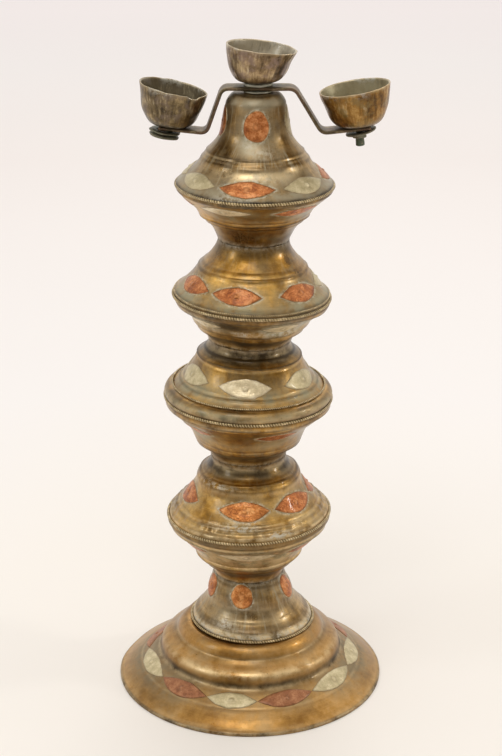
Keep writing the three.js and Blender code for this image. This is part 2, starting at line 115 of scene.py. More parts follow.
class Graph:
    """The node tree of a material or world, with one short call for each kind of node that is used here."""

    def __init__(self, name, owners=bpy.data.materials, output="OutputMaterial", place="Object"):
        self.owner = owners.new(name)
        self.owner.use_nodes = True
        self.tree = self.owner.node_tree
        self.tree.nodes.clear()
        self.output = self.node(output)
        self.place = self.node("TexCoord").outputs[place]

    def node(self, kind, settings=None, *values, **named):
        """A node with its settings. Values feed its inputs in their order, or by name."""
        made = self.tree.nodes.new("ShaderNode" + kind)
        for key, value in (settings or {}).items():
            setattr(made, key, value)
        for socket, value in zip(made.inputs, values):
            self.feed(socket, value)
        for key, value in named.items():
            self.feed(made.inputs[key.replace("_", " ")], value)
        return made

    def feed(self, socket, value):
        if isinstance(value, bpy.types.NodeSocket):
            self.tree.links.new(value, socket)
        else:
            socket.default_value = linear(value) if socket.type == "RGBA" else value

    def noise(self, scale, detail, rough, place=None, stretch=None):
        vector = self.place if place is None else place
        if stretch:
            vector = self.node("VectorMath", {"operation": "MULTIPLY"}, vector, stretch).outputs[0]
        noise = self.node("TexNoise", Vector=vector, Scale=scale, Detail=detail, Roughness=rough)
        return noise.outputs["Fac"]

    def attribute(self, name, output="Fac"):
        return self.node("Attribute", {"attribute_name": name}).outputs[output]

    def sum_of(self, operation, a, b, clamp=False):
        return self.node("Math", {"operation": operation, "use_clamp": clamp}, a, b).outputs[0]

    def plus(self, a, b, clamp=False):
        return self.sum_of("ADD", a, b, clamp)

    def times(self, a, b, clamp=False):
        return self.sum_of("MULTIPLY", a, b, clamp)

    def most(self, a, b, clamp=False):
        return self.sum_of("MAXIMUM", a, b, clamp)

    def weighted(self, *terms, clamp=False):
        """The sum of values, each with its weight. Clamped, it is held from 0 to 1."""
        parts = [value if weight == 1 else self.times(value, weight) for value, weight in terms]
        total = parts[0]
        for part in parts[1:]:
            total = self.plus(total, part, clamp and part is parts[-1])
        return total

    def patchy(self, name, scale, detail, rough, low, high, least=0.0, most=1.0):
        """An attribute broken up by noise."""
        return self.times(self.attribute(name), self.span(self.noise(scale, detail, rough), low, high, least, most),
                          True)

    def span(self, value, low, high, to_low=0.0, to_high=1.0):
        """The value from low to high, spread over to_low to to_high and held there."""
        return self.node("MapRange", {"clamp": True}, value, low, high, to_low, to_high).outputs[0]

    def blend(self, share, first, second, kind="MIX"):
        made = self.node("Mix", {"data_type": "RGBA", "blend_type": kind}, share)
        self.feed(made.inputs[6], first)
        self.feed(made.inputs[7], second)
        return made.outputs[2]

    def coats(self, colour, *coats):
        """The colour under coats of others, each with its share."""
        for share, tint in coats:
            colour = self.blend(share, colour, tint)
        return colour

    def ramp(self, value, *stops):
        made = self.node("ValToRGB", Fac=value)
        elements = made.color_ramp.elements
        while len(elements) < len(stops):
            elements.new(0.5)
        for element, (position, colour) in zip(elements, stops):
            element.position = position
            element.color = linear(colour)
        return made.outputs["Color"]

    def metal(self, colour, roughness, metallic, height, depth, strength, coat):
        bump = self.node("Bump", Height=height, Distance=depth, Strength=strength)
        return self.done(self.node(
            "BsdfPrincipled", Base_Color=colour, Roughness=roughness, Metallic=metallic, Coat_Weight=coat,
            Coat_Roughness=COAT_ROUGHNESS, Normal=bump.outputs[0]))

    def done(self, shader):
        self.feed(self.output.inputs["Surface"], shader.outputs[0])
        return self.owner


def aged_brass(name, deep, body, bright, film_and_reflection, film_share=0.5, streaks=0.1, rough=0.3):
    """Old sheet brass: amber clouds and faint lathe lines under a pale film that gathers round the plates and runs down
    in drips, with dirt in the hollows, rubbed ridges and spilt solder. Light and shade are painted in as well: the
    film's colour as a painted sheen at grazing angles and as painted reflections where marked, deep amber as painted
    shade, and the rubbed colour as painted highlights."""
    g = Graph(name)
    turned = g.attribute("turned", "Vector")
    clouds = g.noise(21, 8, 0.62)
    mottle = g.noise(150, 6, 0.64)
    streak = g.noise(1.0, 6, 0.66, turned, (13, 13, 42))
    rings = g.noise(1.0, 3, 0.6, turned, (1.5, 1.5, 900))
    tone = g.weighted((clouds, 0.62), (mottle, 0.3), (rings, 0.08))
    colour = g.ramp(tone, (0.4, deep), (0.5, body), (0.61, bright))
    light = g.span(streak, 0.32, 0.68, 1 - 1.1 * streaks, 1 + 0.8 * streaks)
    colour = g.blend(1.0, colour, light, "MULTIPLY")
    patches = g.span(g.noise(40, 8, 0.68), 0.5, 0.64, 0, film_share)
    # The film round the plates and at the ends, with the film marks, which paint reflections and highlights in places.
    ring = g.times(g.attribute("halo"), g.span(g.noise(85, 6, 0.66), 0.34, 0.56, 0.3, 1.0))
    drips = g.times(g.span(streak, 0.5, 0.64), min(0.85, streaks * 3))
    # Painted sheen: the film's pale colour grows towards the silhouettes, standing for the pale room reflected at
    # grazing angles.
    sheen = g.sum_of("POWER", g.node("LayerWeight", Blend=0.3).outputs["Facing"], 2.0)
    painted_sheen = g.times(sheen, g.span(mottle, 0.35, 0.6, 0.5, 0.9))
    film_and_sheen = g.most(g.most(patches, drips), g.most(ring, painted_sheen), True)
    # Painted shade: deep amber where the marks put it, on necks, hollows and the foot's flanks as if in shade, and on a
    # few dark stains.
    shade = g.patchy("shade", 60, 6, 0.62, 0.32, 0.56, 0.5)
    dirt = g.patchy("grime", 80, 6, 0.65, 0.3, 0.6, 0.35)
    # Rubbed ridges, and painted highlights where the marks lay the pale rubbed colour on the fronts of rolls, ridges
    # and bands.
    rubbed_and_highlit = g.patchy("wear", 90, 5, 0.65, 0.36, 0.56)
    crust = g.patchy("solder", 300, 6, 0.7, 0.45, 0.54)
    specks = g.span(g.noise(700, 3, 0.6), 0.66, 0.72, 0, 0.5)
    colour = g.coats(colour, (film_and_sheen, film_and_reflection), (shade, (60, 42, 8)), (dirt, (52, 40, 18)), (rubbed_and_highlit, (236, 208, 158)),
                     (crust, (206, 200, 182)), (specks, (58, 44, 18)))
    roughness = g.weighted((g.span(clouds, 0.35, 0.65, rough - 0.06, rough + 0.08), 1), (film_and_sheen, 0.18), (dirt, 0.2),
                           (crust, 0.25), clamp=True)
    dull = g.most(g.times(film_and_sheen, 0.6), g.most(crust, g.times(dirt, 0.7)))
    metallic = g.span(dull, 0, 1, 0.96, 0.35)
    height = g.weighted((mottle, 0.8), (rings, 0.15), (streak, streaks), (g.plus(crust, specks), 0.5))
    return g.metal(colour, roughness, metallic, height, 0.0003, 0.4, 0.25)


def plate_metal(name, deep, body, bright, metal, stipple, rough):
    """The domed plates: blotched, stippled by a punch, and dirty towards the edge."""
    g = Graph(name)
    clouds = g.noise(170, 6, 0.6)
    fine = g.noise(900, 4, 0.6)
    colour = g.ramp(g.weighted((clouds, 0.7), (fine, 0.3)), (0.38, deep), (0.5, body), (0.62, bright))
    edge = g.patchy("grime", 300, 4, 0.6, 0.3, 0.6, 0.2, 0.8)
    colour = g.coats(colour, (edge, (112, 84, 54)), (g.times(g.attribute("wear"), 0.7), bright))
    dots = g.node("TexVoronoi", Vector=g.place, Scale=750).outputs["Distance"]
    height = g.weighted((dots, stipple), (fine, 0.4))
    roughness = g.span(clouds, 0.3, 0.7, rough - 0.07, rough + 0.1)
    return g.metal(colour, roughness, metal, height, 0.00045, 0.6, 0.2)


def dull_metal(name, deep, body, bright, rough, metal, scale=220, bump=0.5, spot=None):
    """Cast, soldered or corroded metal, with an optional second colour in spots."""
    g = Graph(name)
    clouds = g.noise(scale, 7, 0.65)
    fine = g.noise(scale * 5, 4, 0.6)
    colour = g.ramp(g.weighted((clouds, 0.7), (fine, 0.3)), (0.38, deep), (0.5, body), (0.62, bright))
    if spot:
        colour = g.blend(g.span(g.noise(scale * 0.6, 6, 0.7), 0.46, 0.56), colour, spot)
    colour = g.coats(colour, (g.times(g.attribute("grime"), 0.85, True), (48, 38, 22)),
                     (g.times(g.attribute("wear"), 0.8, True), bright))
    height = g.weighted((clouds, 1), (fine, 0.5))
    roughness = g.span(fine, 0.3, 0.7, rough - 0.08, rough + 0.1)
    return g.metal(colour, roughness, metal, height, 0.0004, bump, 0.15)


def cup_brass(name, deep, body, bright, bloom, inner, scratched):
    """The cups: hammered brass with short upright scratches, a bloom in patches and pale deposits by the rim."""
    g = Graph(name)
    turned = g.attribute("turned", "Vector")
    clouds = g.noise(75, 8, 0.66)
    scratch = g.noise(1.0, 6, 0.7, turned, (8, 8, 75))
    fine = g.noise(600, 5, 0.6)
    colour = g.ramp(g.weighted((clouds, 0.7), (scratch, 0.3)), (0.4, deep), (0.5, body), (0.6, bright))
    bloomed = g.span(g.noise(110, 7, 0.68), 0.48, 0.6, 0, 0.7)
    inside = g.attribute("inside")
    lining = g.times(inside, g.span(clouds, 0.36, 0.62, 0.6, 1.0))
    dirt = g.times(g.attribute("grime"), 0.8, True)
    pale = g.times(g.span(scratch, 0.52, 0.64, 0, 0.8 * scratched), g.span(g.noise(90, 5, 0.62), 0.48, 0.6))
    dark = g.times(g.span(scratch, 0.47, 0.36, 0, 0.5 * scratched), g.span(g.noise(95, 5, 0.62), 0.52, 0.42))
    rubbed_and_highlit = g.times(g.attribute("wear"), 0.75, True)
    crust = g.patchy("solder", 260, 5, 0.7, 0.44, 0.54)
    colour = g.coats(colour, (bloomed, bloom), (lining, inner), (dirt, (52, 44, 28)), (pale, (206, 190, 154)),
                     (dark, (46, 36, 20)), (rubbed_and_highlit, (205, 186, 150)), (crust, (206, 202, 188)))
    height = g.weighted((scratch, 0.6), (fine, 0.4), (crust, 0.8))
    roughness = g.weighted((g.span(clouds, 0.3, 0.7, 0.32, 0.48), 1), (crust, 0.25), clamp=True)
    metallic = g.span(g.most(crust, g.times(inside, 0.6)), 0, 1, 0.92, 0.4)
    return g.metal(colour, roughness, metallic, height, 0.00045, 0.6, 0.3)


BRASS = aged_brass("brass", (96, 62, 8), (162, 114, 30), (230, 178, 88), (150, 140, 108))
BELL_BRASS = aged_brass("bell_brass", (96, 66, 20), (146, 108, 46), (208, 168, 102), (160, 148, 120), 0.5, 0.3)
FOOT_BRASS = aged_brass("foot_brass", (146, 102, 42), (182, 134, 66), (208, 162, 98), (150, 130, 94), 0.4, 0.0, 0.33)
COPPER = plate_metal("copper", (138, 74, 34), (182, 108, 54), (220, 152, 96), 0.7, 0.9, 0.42)
# A lighter copy of the copper for front plates: rubbed, and painted lighter as if better lit.
RUBBED_AND_LIT_COPPER = plate_metal("rubbed_and_lit_copper", (150, 86, 38), (202, 126, 62), (238, 174, 110), 0.7, 0.9, 0.4)
DULL_COPPER = plate_metal("dull_copper", (132, 80, 48), (160, 104, 66), (186, 132, 92), 0.55, 0.6, 0.5)
WHITE_METAL = plate_metal("white_metal", (176, 160, 120), (196, 180, 139), (216, 201, 162), 0.45, 0.15, 0.42)
# A lighter copy of the white metal for front plates: rubbed, and painted lighter as if better lit.
RUBBED_AND_LIT_METAL = plate_metal("rubbed_and_lit_metal", (204, 186, 148), (224, 206, 168), (242, 228, 196), 0.45, 0.3, 0.36)
# Upper case is for the plates at the front: rubbed bright, and painted lighter as if better lit.
PLATE_METALS = {"c": (COPPER, "copper"), "C": (RUBBED_AND_LIT_COPPER, "copper"), "d": (DULL_COPPER, "copper"),
                "w": (WHITE_METAL, "white_metal"), "W": (RUBBED_AND_LIT_METAL, "white_metal")}
SOLDER = dull_metal("solder", (132, 116, 84), (178, 160, 122), (212, 198, 166), 0.5, 0.5)
ROPE = dull_metal("rope", (96, 78, 46), (148, 126, 84), (220, 198, 154), 0.4, 0.75)
BAR_BRASS = dull_metal("bar_brass", (60, 51, 33), (90, 77, 53), (146, 128, 96), 0.48, 0.75, 120, 0.5, (106, 82, 64))
OLD_STEEL = dull_metal("old_steel", (58, 54, 42), (96, 88, 68), (142, 132, 110), 0.55, 0.6, 260, 0.8, (80, 92, 72))
WASHER = dull_metal("washer", (112, 112, 98), (148, 146, 130), (186, 184, 168), 0.5, 0.5)
CENTRE_BRASS = cup_brass("centre_cup_brass", (72, 56, 34), (132, 108, 76), (196, 170, 128), (140, 118, 104),
                         (190, 180, 158), 1.0)
LEFT_BRASS = cup_brass("left_cup_brass", (62, 50, 30), (112, 94, 62), (170, 148, 106), (110, 94, 80),
                       (128, 116, 92), 0.8)
RIGHT_BRASS = cup_brass("right_cup_brass", (84, 56, 16), (140, 100, 40), (186, 148, 84), (124, 104, 62),
                        (188, 180, 150), 0.5)


# Meshes

def add_piece(name, points, faces, material, body, slot, replaced=(), data=None):
    """Makes a mesh from points in millimetres, turns its faces outwards and sets it riding on its body. The data has
    values for the points, and a last point without one has zero."""
    mesh = bpy.data.meshes.new(name)
    points = np.asarray(points, float)
    if signed_volume(points, faces) < 0:
        faces = [face[::-1] for face in faces]
    mesh.from_pydata((points * MM).tolist(), [], faces)
    mesh.materials.append(material)
    for key, values in (data or {}).items():
        kind, field = ("FLOAT_VECTOR", "vector") if np.ndim(values) == 2 else ("FLOAT", "value")
        full = np.zeros((len(points), *np.shape(values)[1:]), np.float32)
        full[:len(values)] = values
        mesh.attributes.new(key, kind, "POINT").data.foreach_set(field, full.ravel())
    mesh.shade_smooth()
    piece = placed(name, mesh)
    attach(piece, body)
    if replaced:
        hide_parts(*replaced)


def signed_volume(points, faces):
    """Six times the volume inside the faces, negative where they look inwards."""
    fans = [(face[0], face[i], face[i + 1]) for face in faces for i in range(1, len(face) - 1)]
    a, b, c = np.moveaxis(points[np.array(fans)], 1, 0)
    return np.einsum("ij,ij->", a, np.cross(b, c))


def loft(rings, joined):
    """Points and faces of a closed solid through rings of equal length. The last ring joins the first, or both ends
    close on a middle point."""
    rings = np.asarray(rings, float)
    count, around, _ = rings.shape
    points = rings.reshape(-1, 3)
    faces = []
    for i in range(count if joined else count - 1):
        low, high = i * around, ((i + 1) % count) * around
        for j in range(around):
            k = (j + 1) % around
            faces.append((low + j, low + k, high + k, high + j))
    if not joined:
        points = np.vstack([points, rings[0].mean(0), rings[-1].mean(0)])
        first, last = count * around, count * around + 1
        end = (count - 1) * around
        for j in range(around):
            k = (j + 1) % around
            faces.append((first, k, j))
            faces.append((last, end + j, end + k))
    return points, faces


# Turned sections

def waves(seed, size, turns=(2, 9)):
    """An uneven push in millimetres over angle and height, the same each run."""
    draw = np.random.RandomState(seed)
    terms = [(draw.randint(*turns), draw.uniform(0, TAU), draw.uniform(0.05, 0.25), draw.uniform(0, TAU))
             for _ in range(6)]

    def push(angle, height):
        total = 0.0
        for count, phase, climb, start in terms:
            total = total + np.sin(count * angle + phase) * np.sin(climb * height + start)
        return size * total / 2.5
    return push


# The line up the middle of the stack: height, distance to the right and lean in degrees
# (positive where the right side is higher). The sections were soldered together by eye.
STACK_AXIS = np.array([
    (46, 1.8, -0.8), (86, -1.2, -0.3), (134.6, -0.9, 1.3), (181.2, -1.2, 0.3), (227.3, -1.4, -1.2),
    (271.2, -0.2, -1.8), (303.8, 1.2, -2.0), (346, 2.6, -1.0), (385.1, 3.3, -0.8), (445, 4.0, 0.0)])
FOOT_AXIS = np.array([(0, 0, 0), (46, 0, 0)])

# How far dirt spreads from a seam, solder from a bead and film from a plate
SEAM_REACH, BEAD_REACH, HALO_REACH = 2.5, 1.2, 8.0
ALL_ROUND = (0, 999)  # middle and half width in degrees of a mark that runs all the way round


def stand(angle, radius, height, axis):
    """Points at an angle, a radius and a height round a leaning axis."""
    middle = np.interp(height, axis[:, 0], axis[:, 1])
    lean = np.radians(np.interp(height, axis[:, 0], axis[:, 2]))
    aside = radius * np.sin(angle)
    return np.stack([middle + aside, -radius * np.cos(angle), height + aside * np.tan(lean)], -1)


class Turned:
    """A surface of revolution: the outline runs upwards, and the details are small ridges or grooves on it."""

    def __init__(self, outline, details, seed, uneven=0.18, ripples=(), axis=STACK_AXIS, marks=None, flat_back=(0, 0)):
        self.radius, self.height = self.smooth(np.array(outline, float))
        self.along = self.lengths()
        self.axis = axis
        for z, width, rise in details:
            spot = self.at_height(z)
            shape = rise * np.exp(-((self.along - spot) / width) ** 2)
            across, up = self.normals()
            self.radius = self.radius + across * shape
            self.height = self.height + up * shape
            self.along = self.lengths()
        self.across, self.up = self.normals()
        self.push = waves(seed, uneven)
        self.ripples = ripples
        self.marks = marks
        self.flat_back = flat_back
        self.plates = []

    @staticmethod
    def smooth(control):
        """Points every fraction of a millimetre along a curve through the control points."""
        ends = np.vstack([2 * control[0] - control[1], control, 2 * control[-1] - control[-2]])
        found = [control[0]]
        for i in range(len(control) - 1):
            p0, p1, p2, p3 = ends[i:i + 4]
            steps = max(2, int(np.hypot(*(p2 - p1)) / OUTLINE_STEP))
            k0, k1, k2 = (np.hypot(*(b - a)) ** 0.5 for a, b in ((p0, p1), (p1, p2), (p2, p3)))
            m1 = k1 * ((p1 - p0) / k0 - (p2 - p0) / (k0 + k1) + (p2 - p1) / k1)
            m2 = k1 * ((p2 - p1) / k1 - (p3 - p1) / (k1 + k2) + (p3 - p2) / k2)
            for t in np.arange(1, steps + 1) / steps:
                h = (2 * t ** 3 - 3 * t ** 2 + 1, t ** 3 - 2 * t ** 2 + t, 3 * t ** 2 - 2 * t ** 3, t ** 3 - t ** 2)
                found.append(h[0] * p1 + h[1] * m1 + h[2] * p2 + h[3] * m2)
        found = np.array(found)
        return found[:, 0], found[:, 1]

    def lengths(self):
        return np.concatenate([[0], np.cumsum(np.hypot(np.diff(self.radius), np.diff(self.height)))])

    def normals(self):
        across, up = np.gradient(self.height), -np.gradient(self.radius)
        size = np.hypot(across, up)
        return across / size, up / size

    def at_height(self, z):
        return self.along[np.argmin(abs(self.height - z))]

    def points(self, angle, along, lift=0.0):
        """Places on the surface, from the angle in radians (0 in front, positive to the right) and the way up it."""
        angle, along, lift = np.broadcast_arrays(np.asarray(angle, float), along, lift)
        radius, height, across, up = (np.interp(along, self.along, course)
                                      for course in (self.radius, self.height, self.across, self.up))
        push = lift + self.push(angle, height)
        for middle, reach, count, depth in self.ripples:
            share = np.exp(-((height - middle) / reach) ** 2)
            push = push + depth * share * (np.sin(count * angle) * np.sin(0.37 * count * angle + 1) - 0.4)
        radius = radius + across * push
        height = height + up * push
        left, right = self.flat_back
        behind = np.clip((-np.cos(angle) - 0.05) / 0.4, 0, 1)
        radius = radius * (1 - np.where(np.sin(angle) < 0, left, right) * behind ** 2 * (3 - 2 * behind))
        return stand(angle, radius, height, self.axis)

    def bend(self):
        """How sharply the outline turns: positive on ridges and negative in hollows."""
        turn = np.unwrap(np.arctan2(self.up, self.across))
        sharp = -np.gradient(turn) / np.gradient(self.along)
        return np.convolve(sharp, np.hanning(5) / np.hanning(5).sum(), "same")

    def build(self, name, material, slot, replaced, seams):
        """The sheet itself, closed by an inner face. The seams say how dirty its lower and upper ends are."""
        angle = circle(AROUND)
        rings = [self.points(angle, spot) for spot in self.along]
        inner = self.along[::-3]  # fewer points are enough inside
        rings += [self.points(angle, spot, -SHEET) for spot in inner]
        outer = len(self.along)
        spots = np.concatenate([self.along, inner])
        curve = np.concatenate([self.bend(), np.zeros(len(inner))])
        low, high = np.exp(-(spots / SEAM_REACH) ** 2), np.exp(-((self.along[-1] - spots) / SEAM_REACH) ** 2)
        ends = seams[0] * low + seams[1] * high
        grime = np.clip(-curve * 2.2, 0, 0.9) + 0.7 * ends
        grime[outer:] = 0.8
        wear = np.clip(curve * 1.6, 0, 0.9)
        spread = np.repeat(spots, AROUND)
        turns = np.tile(angle, len(spots))
        # The marks: dirt and crust are stains; film marks are film, with painted reflections and highlights in places;
        # rub marks are wear, with painted highlights in places; shade marks are painted shade, with a few dark stains.
        mark = {kind: self.marked(kind, turns, spread) for kind in ("dirt", "rub_and_highlight", "crust", "film_and_reflection", "shade")}
        crust = self.deposit(turns, spread, BEAD_REACH, True) + np.repeat(0.25 * ends, AROUND)
        halo = 0.55 * self.deposit(turns, spread, HALO_REACH) + np.repeat(0.4 * np.clip(ends, 0, 1), AROUND)
        data = {
            "grime": np.clip(np.repeat(grime, AROUND) + mark["dirt"], 0, 1),
            "wear": np.clip(np.repeat(wear, AROUND) + mark["rub_and_highlight"], 0, 1),
            "solder": crust + mark["crust"],
            "halo": np.clip(halo + mark["film_and_reflection"], 0, 1),
            "shade": mark["shade"],
            "turned": np.stack([np.sin(turns), np.cos(turns), spread * MM], -1),
        }
        add_piece(name, *loft(rings, True), material, "stack", slot, replaced, data)

    def marked(self, kind, turns, spots):
        """Marks of one kind: stains, and painted shade, highlights and reflections. Each mark is its height, half
        height and strength, and then, where it doesn't run all the way round, its middle and half width in degrees."""
        total = np.zeros(len(turns))
        height = np.interp(spots, self.along, self.height)
        for level, tall, strength, *part in self.marks.get(kind, ()):
            middle, wide = part or ALL_ROUND
            side = (np.degrees(turns) - middle + 180) % 360 - 180
            total = np.maximum(total, strength * np.exp(-(side / wide) ** 2 - ((height - level) / tall) ** 2))
        return total

    def deposit(self, turns, spots, reach, beaded_only=False):
        """How near the edge of a plate is, from 1 at the edge to 0 at twice the reach."""
        total = np.zeros(len(turns))
        for plate in [plate for plate in self.plates if plate["beaded"] or not beaded_only]:
            edge = plate["edge"]
            radius = np.interp(plate["middle"], self.along, self.radius)
            side = ((turns - plate["angle"] + math.pi) % TAU - math.pi) * radius
            rise = spots - plate["middle"]
            near = np.where(abs(side) < plate["reach"] + 2 * reach)[0]
            if len(near):
                gap = np.hypot(side[near, None] - edge[None, :, 0], rise[near, None] - edge[None, :, 1]).min(1)
                total[near] = np.maximum(total[near], np.exp(-(gap / reach) ** 2))
        return total


def almond_edge(length, width, count=56):
    """Two arcs that meet in a point at each end."""
    half = count // 2
    u = np.cos(np.arange(half) * math.pi / half)
    u = np.sign(u) * abs(u) ** 0.8
    side = (1 - u ** 2) * width / 2
    upper = np.stack([u * length / 2, side], -1)
    lower = np.stack([-u * length / 2, -side], -1)
    return np.vstack([upper, lower])


def oval_edge(width, height, count=44):
    turn = circle(count)
    return np.stack([width / 2 * np.cos(turn), height / 2 * np.sin(turn)], -1)


def uneven_edge(edge, seed, size=0.25):
    """The same outline as cut by hand."""
    draw = np.random.RandomState(seed)
    turn = np.arctan2(edge[:, 1], edge[:, 0])
    push = sum(draw.uniform(-1, 1) * np.sin(k * turn + draw.uniform(0, TAU)) for k in (2, 3, 5))
    size_of = np.hypot(edge[:, 0], edge[:, 1])
    return edge * (1 + size * push / size_of)[:, None]


def add_plate(surface, name, angle, height, edge, material, slot, replaced, seed, rise, nipple, beaded):
    """A domed plate on a turned surface, with a small boss in its middle and perhaps a bead of solder round it."""
    edge = uneven_edge(edge, seed)
    turn = math.radians(angle)
    middle = surface.at_height(height)
    surface.plates.append({"angle": turn, "middle": middle, "edge": edge, "reach": abs(edge[:, 0]).max(),
                           "beaded": beaded})
    radius = np.interp(middle, surface.along, surface.radius)

    def place(side, up, lift):
        return surface.points(turn + side / radius, middle + up, lift)

    shares = [0.05, 0.1, 0.16, 0.24, 0.34, 0.46, 0.58, 0.7, 0.8, 0.88, 0.95, 1.0]
    tops, grime, wear = [], [], []
    for share in reversed(shares):
        side, up = (edge * share).T
        away = np.hypot(side, up)
        dome = rise * (1 - share ** 4) ** 0.6
        boss = nipple * np.exp(-(away / 1.15) ** 2) - 0.22 * np.exp(-((away - 2.2) / 0.6) ** 2)
        tops.append(place(side, up, 0.12 + dome + boss))
        grime.append(np.full(len(edge), share ** 14) + 0.4 * np.exp(-((away - 2.1) / 0.6) ** 2))
        # The boss is lighter: worn, and a painted highlight.
        wear.append(np.exp(-(away / 1.0) ** 2))
    under = place(*edge.T, -0.3)
    data = {
        "grime": np.clip(np.concatenate([np.ones(len(edge)), *grime]), 0, 1),
        "wear": np.concatenate([np.zeros(len(edge)), *wear, [0.0, 1.0]]),
    }
    add_piece(name, *loft([under] + tops, False), material, "stack", slot, replaced, data)
    if beaded:
        add_bead(name + "_solder", place, edge, seed)


def add_bead(name, place, edge, seed):
    """The bead of solder along a plate's edge."""
    draw = np.random.RandomState(seed + 500)
    sides = 6
    before, after = np.roll(edge, 1, 0), np.roll(edge, -1, 0)
    along = (after - before) / np.hypot(*(after - before).T)[:, None]
    out = np.stack([along[:, 1], -along[:, 0]], -1)
    out *= np.sign((out * edge).sum(1).mean())
    thick = 0.26 + 0.14 * np.convolve(draw.uniform(-1, 1, len(edge) + 4), np.ones(5) / 2, "valid")
    rings = []
    for turn in circle(sides):
        path = edge + out * (0.15 + thick * math.cos(turn))[:, None]
        rings.append(place(path[:, 0], path[:, 1], 0.08 + 0.75 * thick * math.sin(turn)))
    add_piece(name, *loft(np.stack(rings, 1), True), SOLDER, "stack", "solder")


def add_rope(name, radius, height, seed, replaced=(), wire=ROPE_RADIUS, pitch=ROPE_PITCH):
    """A milled wire: notches run across it all the way round, worn away in places."""
    count = int(TAU * radius / pitch)
    steps, sides = count * 6, 10
    angle = circle(steps)
    worn = 0.5 + 0.5 * np.clip(waves(seed, 1.6, (2, 7))(angle, 3.0), -1, 1)
    rings, crest = [], []
    for turn in circle(sides):
        mill = np.sin(count * angle + 0.9 * turn)
        thick = wire * (1 - NOTCH * (1 - worn * 0.55) * (1 - mill) / 2)
        reach = radius - wire + thick * math.cos(turn)
        rings.append(stand(angle, reach, height + thick * math.sin(turn), STACK_AXIS))
        crest.append(mill)
    crest = np.stack(crest, 1).ravel()
    data = {"wear": np.clip(crest, 0, 1) * 0.9, "grime": np.clip(-crest, 0, 1) * 0.6}
    add_piece(name, *loft(np.stack(rings, 1), True), ROPE, "stack", "solder", replaced, data)


# The stack

FOOT = Turned(
    [(99.9, 0.1), (100, 0.9), (99.6, 2), (98.6, 2.7), (97.2, 3.3), (95.6, 4.3), (93.5, 5.8), (91, 7.6), (88, 9.5),
     (84, 12), (80, 14.5), (76, 17), (73, 18.9), (71.2, 19.9), (69.9, 20.8), (69, 22), (68.4, 23.7), (67.8, 25.9),
     (66.9, 28.3), (65.2, 30.6), (62.6, 32.4), (59.8, 33.9), (57.3, 35.5), (55.5, 37.4), (54.2, 39.6), (53.2, 41.4),
     (51.8, 43.2), (50.1, 44.7), (48.4, 45.5), (44, 45.7)],
    [(12.6, 0.8, -0.35), (37.4, 0.8, -0.25)],
    seed=11, uneven=0.22, axis=FOOT_AXIS, flat_back=(0.025, 0.01),
    # Painted shade darkens the two hollows and the left and right flanks; the rub at the front of the roll is a painted
    # highlight, the rub on the lip is painted light, and the film on the flanks is a painted reflection.
    marks={"dirt": [(22, 2, 0.4)],
           "shade": [(23, 3.4, 1), (36.6, 2.4, 0.6), (8, 7, 0.5, -55, 25), (12, 9, 0.3, -85, 30),
            (12, 9, 0.35, 92, 30)],
           "rub_and_highlight": [(30, 2.4, 0.8, 0, 80), (1.6, 1.2, 0.4)],
           "film_and_reflection": [(14, 9, 0.8, -80, 40), (14, 9, 0.8, 88, 35), (2.2, 2, 0.25)]})
FOOT_BELL = Turned(
    [(44.9, 46.1), (44.8, 48.8), (43.8, 51), (40.5, 55), (36.2, 60), (33, 65), (31.9, 70), (30.6, 75), (28, 80),
     (26.5, 84.5), (26.1, 85.9)],
    [(53, 0.7, 0.25), (58.6, 0.8, 0.2), (82, 0.6, 0.4)],
    seed=12,
    # The shade mark at the top is painted shade, and the rub at the front of the ridge is a painted highlight.
    marks={"crust": [(49.4, 2.4, 0.7), (56, 3, 0.5, -30, 12)],
           "rub_and_highlight": [(49.6, 2.4, 0.85), (58.6, 1.4, 0.35, 0, 60)],
           "film_and_reflection": [(49.4, 2.8, 0.9), (60, 12, 0.5, -40, 25), (60, 10, 0.5, 25, 22)],
           "dirt": [(54.4, 1.6, 0.5)],
           "shade": [(82, 5, 0.4)]})
BOWL_4 = Turned(
    [(26.1, 85.6), (26.6, 88), (27.8, 91), (31.2, 95), (36.8, 99.8), (39.3, 102.4), (39.8, 105), (42.8, 110),
     (47, 115), (51, 120), (56.4, 125), (59.6, 130), (60.1, 133), (59.5, 134.6)],
    [(97.4, 0.7, 0.5), (99.4, 0.6, -0.4), (103, 0.6, 0.5), (104.6, 0.6, -0.4), (126.6, 0.6, 0.7), (128.4, 0.6, -0.5),
     (130.6, 0.6, 0.4)],
    seed=13, uneven=0.25,
    # The shade mark at the neck is painted shade, and the broad rub over the middle is painted light.
    marks={"film_and_reflection": [(116, 12, 1), (130, 3, 0.5), (108, 8, 0.8, 25, 20)],
           "rub_and_highlight": [(127, 2, 0.4), (114, 10, 0.7)],
           "shade": [(94, 5, 0.6)]})
SHELL_4 = Turned(
    [(59.5, 134.6), (59, 136.4), (56.2, 140), (51.1, 145), (46.4, 150), (42.7, 155), (39.6, 160), (38.3, 165),
     (37.1, 167.6), (34.1, 170), (30.9, 172.5), (29, 175), (27.4, 178), (27.7, 181.4)],
    [(168.6, 0.5, 0.6), (166.8, 0.6, -0.5), (142.6, 0.6, 0.7), (144.2, 0.6, -0.5), (139.8, 0.6, -0.6),
     (138, 0.6, 0.5)],
    seed=14, uneven=0.25, ripples=[(141.2, 2.6, 34, 0.5)],
    # Painted shade darkens the neck and the left of the shoulder; the rubs on the rim mouldings and at the front are
    # painted highlights.
    marks={"crust": [(143.6, 2, 0.9, -8, 16), (138.4, 2, 0.9, 22, 9), (167, 1.6, 0.5, -40, 30)],
           "rub_and_highlight": [(137.2, 1.2, 0.8), (142.6, 0.8, 0.4, 0, 70), (163.5, 1.6, 0.3)],
           "dirt": [(177, 5, 0.3)],
           "shade": [(176, 5.5, 1.3), (166, 6, 0.5, -30, 40)],
           "film_and_reflection": [(140, 4, 0.4)]})
